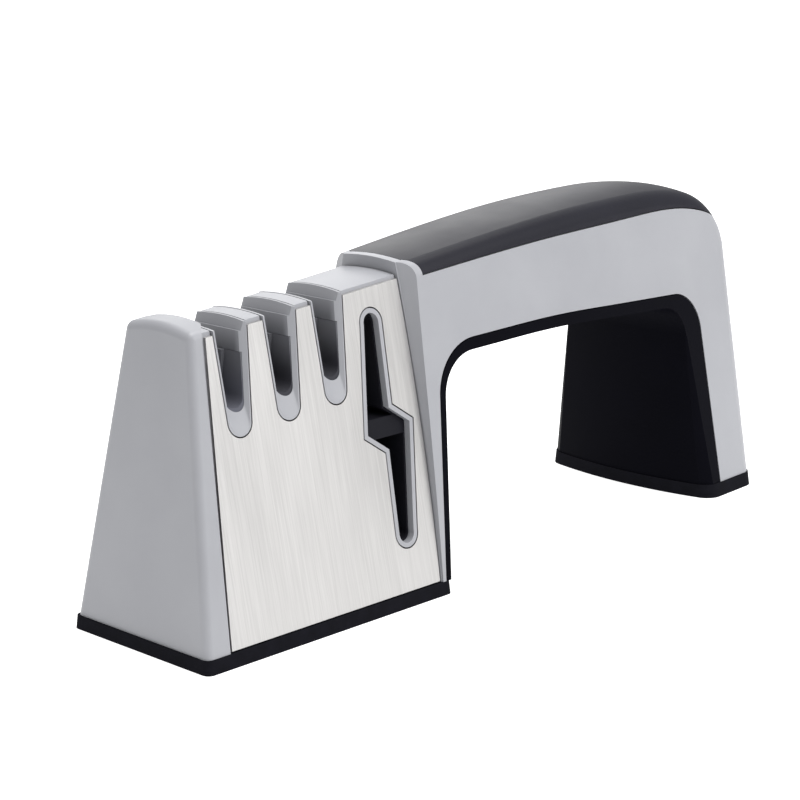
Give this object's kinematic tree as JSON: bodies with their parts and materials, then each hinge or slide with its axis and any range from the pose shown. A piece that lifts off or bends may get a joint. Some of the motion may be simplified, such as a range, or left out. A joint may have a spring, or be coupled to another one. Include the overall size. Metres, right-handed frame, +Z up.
{
  "type": "pull through knife sharpener",
  "caption": "Tabletop pull through sharpener with knife slots, an upright scissors slot and an arched handle.",
  "frame": {"origin": "middle of the footprint on the surface that the sharpener stands on", "axes": "+X from the block with the slots towards the handle's foot, +Z up; a blade is drawn along Y"},
  "size_m": [0.22, 0.0606, 0.092],
  "materials": {
    "silver_grey_plastic": "fine satin",
    "brushed_steel": "brushed upright",
    "black_grip": "soft satin",
    "black_liner": "smooth satin",
    "dark_cartridge": "matte",
    "rubber_pad": "matte",
    "inner_plastic": "matte",
    "zinc_steel": "zinc plated",
    "diamond_coating": "grained",
    "tungsten_carbide": "ground",
    "white_ceramic": "matte, unglazed"
  },
  "bodies": {
    "root": {"base_pad": "rubber_pad", "base_plate": "inner_plastic", "base_screws": "zinc_steel", "nose_cap": "silver_grey_plastic", "head_cover": "silver_grey_plastic", "front_face_plate": "brushed_steel", "rear_face_plate": "brushed_steel", "coarse_slot_liner": "silver_grey_plastic", "medium_slot_liner": "silver_grey_plastic", "fine_slot_liner": "silver_grey_plastic", "coarse_cartridge": "dark_cartridge", "medium_cartridge": "dark_cartridge", "fine_cartridge": "dark_cartridge", "diamond_rod_front": "diamond_coating", "diamond_rod_rear": "diamond_coating", "carbide_blade_front": "tungsten_carbide", "carbide_blade_rear": "tungsten_carbide", "ceramic_rod_front": "white_ceramic", "ceramic_rod_rear": "white_ceramic", "scissors_slot_liner": "silver_grey_plastic", "scissors_cartridge": "dark_cartridge", "scissors_ceramic_rod_upper": "white_ceramic", "scissors_ceramic_rod_lower": "white_ceramic", "handle_frame": "silver_grey_plastic", "top_grip": "black_grip", "arch_liner": "black_liner", "handle_screws": "zinc_steel", "neck_screws": "zinc_steel", "foot_plate": "inner_plastic", "foot_pad": "rubber_pad", "foot_screws": "zinc_steel"}
  },
  "joints": []
}
